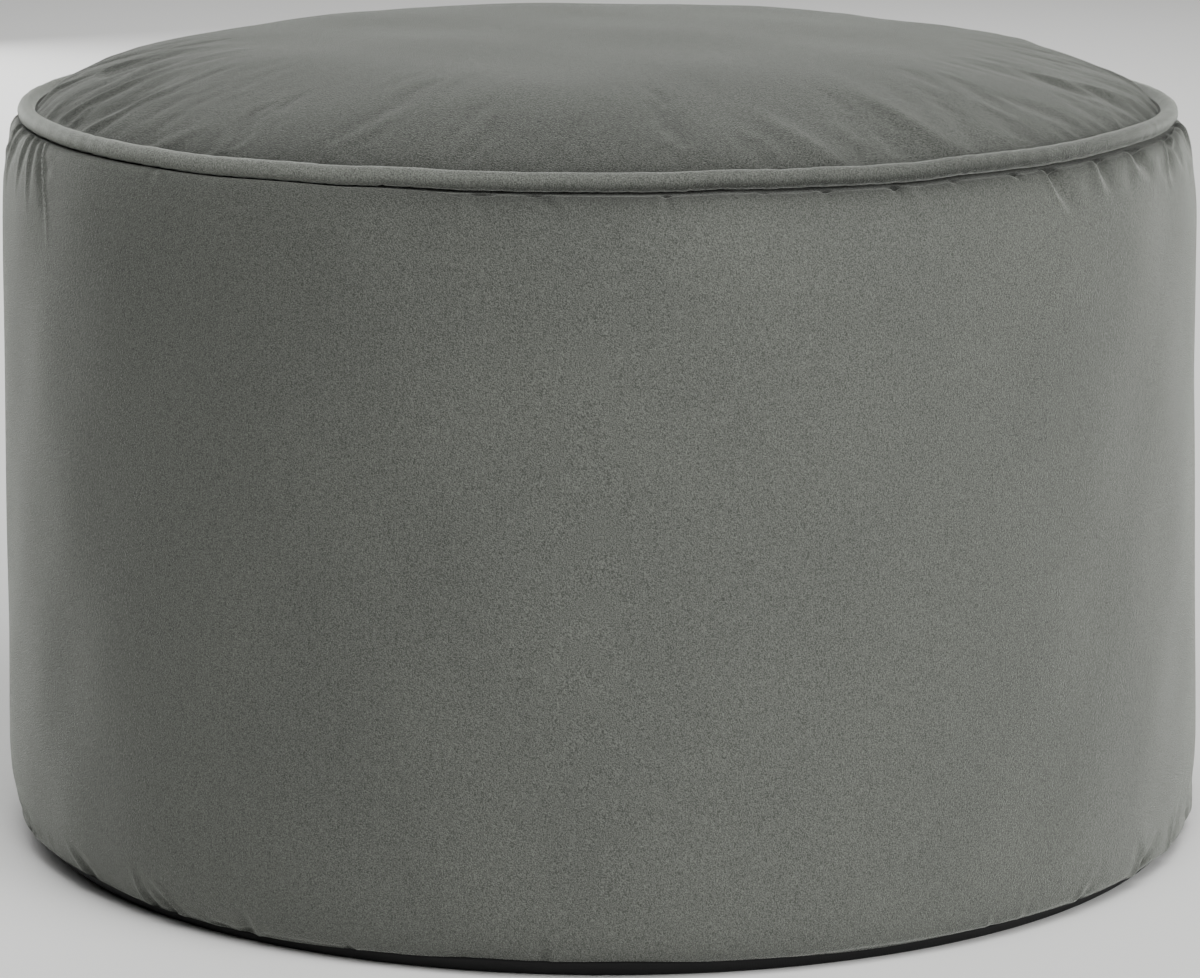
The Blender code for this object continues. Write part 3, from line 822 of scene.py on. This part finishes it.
mesh.shade_smooth()
piping = bpy.data.objects.new("piping_velvet", mesh)
bpy.context.scene.collection.objects.link(piping)
mark_painted_shade(piping, [np.stack(cord_painted_shade, axis=1).ravel()])
# Painted light and shade: the piping's colour is scaled lighter as a whole, and painted lighter at its left
# and darker at its right
piping_velvet = velvet(
    "grey_velvet_piping",
    nap=(0, 0, 0),
    thread_share=0,
    painted_light_scale=1.17,
    painted_light_side=1.6,
    sheen=0.9,
    grain_depth=0.5,
)
piping.data.materials.append(piping_velvet)
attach(piping, "root")
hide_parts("piping")

# --------------------------------------------------------------------------------------------------
# Top panel. A disc of the same velvet, a little larger than the ring it is sewn into, so the beads push
# it up into a crown. Rings of points follow the crown's outline, with long creases from a table and the
# same cloth simulation.
# --------------------------------------------------------------------------------------------------

CROWN_SQUARENESS = 4.0
CROWN_STEEPNESS = 0.87
TOP_COLUMNS = 1200
TOP_LEAVES_AT = math.radians(150)
TOP_SLOT = 0.0003

CROWN_CREASES = (
    # at, via, to, starts, length, ridge, ridge_width, trough, trough_width, side
    Crease(-67.6, -68.4, -73.5, 0, 104, 1.5, 3.6, 2.3, 7.5, -1),
    Crease(-64.0, -65.6, -67.4, 0, 26, 0.5, 1.8, 0.6, 2.4, -1),
    Crease(-59.8, -57.9, -61.2, 0, 78, 1.2, 3.0, 2.0, 8.0, -1),
    Crease(-82.8, -81.8, -80.0, 24, 70, 1.3, 4.0, 1.6, 7.0, 1),
    Crease(-73.2, -73.9, -74.4, 0, 9, 0.4, 1.6, 0.6, 2.2, -1),
    Crease(-45.8, -44.2, -42.5, 0, 24, 0.5, 4.0, 0.5, 4.5, -1),
    Crease(-38.0, -38.6, -39.4, 0, 22, 0.4, 3.0, 0.5, 3.6, -1),
    Crease(-26.0, -26.2, -27.0, 0, 18, 0.3, 3.0, 0.4, 4.0, -1),
    Crease(8.5, 8.4, 8.0, 0, 16, 0.4, 2.6, 0.4, 3.0, 1),
    Crease(17.0, 16.8, 16.0, 0, 18, 0.4, 2.6, 0.4, 3.0, -1),
    Crease(22.6, 19.8, 18.5, 0, 60, 1.0, 5.0, 1.2, 9.0, 1),
    Crease(35.8, 34.3, 36.0, 0, 90, 1.2, 5.5, 1.5, 11.0, -1),
    Crease(61.6, 65.0, 69.0, 0, 22, 0.9, 2.2, 0.9, 3.4, 1),
    Crease(76.5, 69.2, 69.0, 0, 86, 1.3, 4.0, 0.8, 6.0, -1),
    Crease(81.5, 79.6, 76.5, 0, 40, 0.9, 2.6, 0.8, 4.0, -1),
    Crease(93.0, 94.0, 97.0, 0, 46, 1.2, 2.6, 1.5, 4.6, 1),
    Crease(108.0, 107.0, 103.0, 0, 60, 1.4, 2.8, 1.6, 5.0, -1),
    Crease(121.0, 122.0, 125.0, 0, 38, 1.0, 2.4, 1.2, 4.0, 1),
    Crease(137.0, 135.4, 131.0, 0, 66, 1.4, 2.8, 1.7, 5.2, -1),
    Crease(152.0, 153.0, 156.0, 0, 44, 1.1, 2.6, 1.3, 4.4, 1),
    Crease(168.0, 167.0, 163.0, 0, 58, 1.3, 2.8, 1.5, 5.0, -1),
    Crease(-177.0, -176.4, -175.0, 0, 34, 0.9, 2.4, 1.1, 3.8, 1),
    Crease(-163.0, -164.2, -168.0, 0, 62, 1.4, 2.8, 1.6, 5.0, -1),
    Crease(-148.0, -147.0, -144.4, 0, 48, 1.2, 2.6, 1.4, 4.6, 1),
    Crease(-134.0, -135.0, -138.0, 0, 36, 0.9, 2.4, 1.2, 4.0, -1),
    Crease(-121.0, -120.0, -116.0, 0, 64, 1.4, 2.8, 1.7, 5.2, 1),
    Crease(-106.0, -106.6, -108.0, 0, 42, 1.1, 2.6, 1.3, 4.2, -1),
    Crease(-95.0, -95.6, -98.6, 0, 50, 1.2, 2.6, 1.4, 4.6, -1),
    Crease(-86.0, -85.2, -85.6, 0, 30, 0.9, 2.0, 1.1, 3.2, 1),
)

# At the two sides the crown sinks behind the piping, which stands up clear of it there
HOLLOW_FROM = 0.90
HOLLOW_DEPTH = 0.0030
HOLLOW_WIDTH = 0.0060

CROWN_LUMPS = (
    Lump(31, 24, 0.9, 0.0005),
    Lump(-22, 47, 2.6, 0.0004),
    Lump(63, -18, 4.4, 0.0003),
    Lump(52, 71, 1.7, 0.0002),
)

edge_reach = PIPING_RADIUS + TOP_SLOT
edge_radius = RING_RADIUS + edge_reach * math.cos(TOP_LEAVES_AT)

# Rings from the piping in to the middle, with fewer columns as they shrink
Band = namedtuple("Band", "columns outer inner rows")
CROWN_BANDS = (
    Band(TOP_COLUMNS, edge_radius, 0.128, 60),
    Band(TOP_COLUMNS // 2, 0.128, 0.070, 24),
    Band(TOP_COLUMNS // 4, 0.070, 0.030, 14),
    Band(TOP_COLUMNS // 8, 0.030, 0.006, 8),
)
ROWS_CROWD_OUTWARDS = 1.35


def crown_outline(radius, azimuth):
    """The crown's height before its folds. It springs from the wandering seam and is level in the middle."""
    share = radius / edge_radius
    edge_height = eased(UPPER_SEAM, azimuth) + edge_reach * math.sin(TOP_LEAVES_AT)
    peak = SEAM_HEIGHT + edge_reach * math.sin(TOP_LEAVES_AT) + CROWN_RISE
    return edge_height + (peak - edge_height) * (1 - share**CROWN_SQUARENESS) ** CROWN_STEEPNESS


# The same simulation gathers the top panel's edge
TOP_GATHERED_OVER = 0.030
TOP_SPARE = 0.6
SIM_TO_RADIUS = 0.060
sim_radii = np.linspace(edge_radius, SIM_TO_RADIUS, SIM_ROWS)
sim_around = azimuths(TOP_COLUMNS // SIM_EVERY)
sim_grid = np.stack([ring(radius, crown_outline(radius, sim_around), sim_around) for radius in sim_radii])
near_seam = np.exp((sim_radii - edge_radius) / TOP_GATHERED_OVER)
crown_settled = gathered(sim_grid, TOP_SPARE * near_seam[:, None] * eased(GATHERS, sim_around))

CROWN_CREASES_FADE = 0.0025  # the creases and the lumps die away over these distances from the piping
CROWN_LUMPS_FADE = 0.04


def crown_ring(radius, azimuth):
    """One ring of the crown, with its folds."""
    height = crown_outline(radius, azimuth)
    from_seam = edge_radius - radius
    lift = relief(CROWN_CREASES, np.degrees(azimuth), np.full(azimuth.shape, from_seam), radius)
    lift *= smoothstep(0, CROWN_CREASES_FADE, from_seam)
    lumps = lumpiness(CROWN_LUMPS, radius * np.sin(azimuth), -radius * np.cos(azimuth))
    lift += lumps * smoothstep(0, CROWN_LUMPS_FADE, from_seam)
    row = min(from_seam / (edge_radius - SIM_TO_RADIUS), 1) * (SIM_ROWS - 1)
    column = azimuth / math.tau * crown_settled.shape[1]
    lift += read_smoothly(crown_settled, np.full(azimuth.shape, row), column)
    beside = smoothstep(HOLLOW_FROM, 1, np.abs(np.sin(azimuth)))
    lift -= HOLLOW_DEPTH * beside * np.exp(-((from_seam / HOLLOW_WIDTH) ** 2))
    return ring(radius, height + lift, azimuth)


crown_radii = []
for band in CROWN_BANDS:
    crowding = ROWS_CROWD_OUTWARDS if band.columns == TOP_COLUMNS else 1
    steps = np.linspace(0, 1, band.rows, endpoint=False) ** crowding
    crown_radii += [(band.outer + (band.inner - band.outer) * step, band.columns) for step in steps]
crown_radii.append((0.0, 1))
crown = [crown_ring(radius, azimuths(columns)) for radius, columns in crown_radii]

TUCKED_UNDER = (178, 165)  # degrees round the cord, where the cloth turns down behind it
LID_RISE = 0.0002
around = azimuths(TOP_COLUMNS)
edge_tuck = [
    ring(
        RING_RADIUS + edge_reach * math.cos(angle),
        eased(UPPER_SEAM, around) + edge_reach * math.sin(angle),
        around,
    )
    for angle in np.radians(TUCKED_UNDER)
]
top_panel = skin("top_panel_velvet", [ring(0, SEAM_HEIGHT + LID_RISE, pole)] + edge_tuck + crown)

# Painted shade: the crown's colour is darkened beside the piping, and over its front left
PAINTED_SHADE_ON_TOP = 0.35
PAINTED_CROWN_SHADE = 0.13
PAINTED_CROWN_SHADE_FROM_BACK = (-0.10, 0.08)  # metres towards the front
PAINTED_CROWN_SHADE_TO_RIGHT = (0.03, 0.12)


def brushed_tone_and_painted_shade(radius, azimuth):
    """How much painted shade darkens the crown's colour at one radius, over its front left."""
    forward = smoothstep(*PAINTED_CROWN_SHADE_FROM_BACK, radius * np.cos(azimuth))
    return PAINTED_CROWN_SHADE * forward * (1 - smoothstep(*PAINTED_CROWN_SHADE_TO_RIGHT, radius * np.sin(azimuth)))


painted_shade = [
    PAINTED_SHADE_ON_TOP * math.exp(-(edge_radius - radius) / PAINTED_SHADE_OVER) + brushed_tone_and_painted_shade(radius, azimuths(columns))
    for radius, columns in crown_radii
]
hidden = np.ones(TOP_COLUMNS)
mark_painted_shade(top_panel, [hidden[:1], hidden, hidden, *painted_shade])
# Painted shade: the crown's colour is scaled darker as a whole than the side's
top_velvet = velvet(
    "grey_velvet_top",
    nap=(0, -0.10, 0),
    thread_share=0,
    painted_light_scale=0.765,
    grain_depth=0.75,
)
top_panel.data.materials.append(top_velvet)
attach(top_panel, "root")
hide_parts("top_panel")

# --------------------------------------------------------------------------------------------------
# Studio. A pale floor that runs out past the frame, two soft boxes high in front, one low at the right,
# one low behind the left, one over the far floor, and a long lens a little above the footstool.
# --------------------------------------------------------------------------------------------------

CAMERA_DISTANCE = 1.8444
CAMERA_HEIGHT = 0.5214
CAMERA_OFFSET = -0.0008
CAMERA_PITCH = math.radians(11.77)
LENS_MM = 133.98
SENSOR_MM = 36.0
FLOOR_SIZE = 14.0
BOX_SIZE = 1.8
BOX_AIM = (0, 0, 0.15)

mesh = bpy.data.meshes.new("floor")
half = FLOOR_SIZE / 2
mesh.from_pydata([(-half, -half, 0), (half, -half, 0), (half, half, 0), (-half, half, 0)], [], [(0, 1, 2, 3)])
floor = bpy.data.objects.new("floor", mesh)
bpy.context.scene.collection.objects.link(floor)
pale, tree, shader = new_material("pale_studio_floor")
shader.inputs["Base Color"].default_value = linear("#f2f2f0")
shader.inputs["Roughness"].default_value = 0.9
shader.inputs["Specular IOR Level"].default_value = 0.1
floor.data.materials.append(pale)

world = bpy.data.worlds.new("studio")
world.use_nodes = True
world.node_tree.nodes["Background"].inputs["Color"].default_value = (1, 1, 1, 1)
world.node_tree.nodes["Background"].inputs["Strength"].default_value = 0.01
bpy.context.scene.world = world


def soft_light(name, place, aim, size, watts):
    """A square soft box at place that faces aim."""
    light = bpy.data.lights.new(name, "AREA")
    light.shape = "SQUARE"
    light.size = size
    light.energy = watts
    lamp = bpy.data.objects.new(name, light)
    lamp.location = place
    lamp.rotation_euler = (Vector(aim) - Vector(place)).to_track_quat("-Z", "Y").to_euler()
    bpy.context.scene.collection.objects.link(lamp)


soft_light("high_right", (0.549, -1.509, 2.44), BOX_AIM, BOX_SIZE, 63)
soft_light("high_left", (-0.416, -1.551, 2.44), BOX_AIM, BOX_SIZE, 26)
soft_light("low_right", (2.098, -1.760, 0.95), BOX_AIM, BOX_SIZE, 62)
soft_light("rim_left", (-1.369, 2.372, 0.95), BOX_AIM, BOX_SIZE, 44)
soft_light("far_floor", (0, 2.6, 1.8), (0, 2.6, 0), 3.0, 45)

lens = bpy.data.cameras.new("camera")
lens.lens = LENS_MM
lens.sensor_width = SENSOR_MM
camera = bpy.data.objects.new("camera", lens)
camera.location = (CAMERA_OFFSET, -CAMERA_DISTANCE, CAMERA_HEIGHT)
camera.rotation_euler = (math.pi / 2 - CAMERA_PITCH, 0, 0)
bpy.context.scene.collection.objects.link(camera)
bpy.context.scene.camera = camera
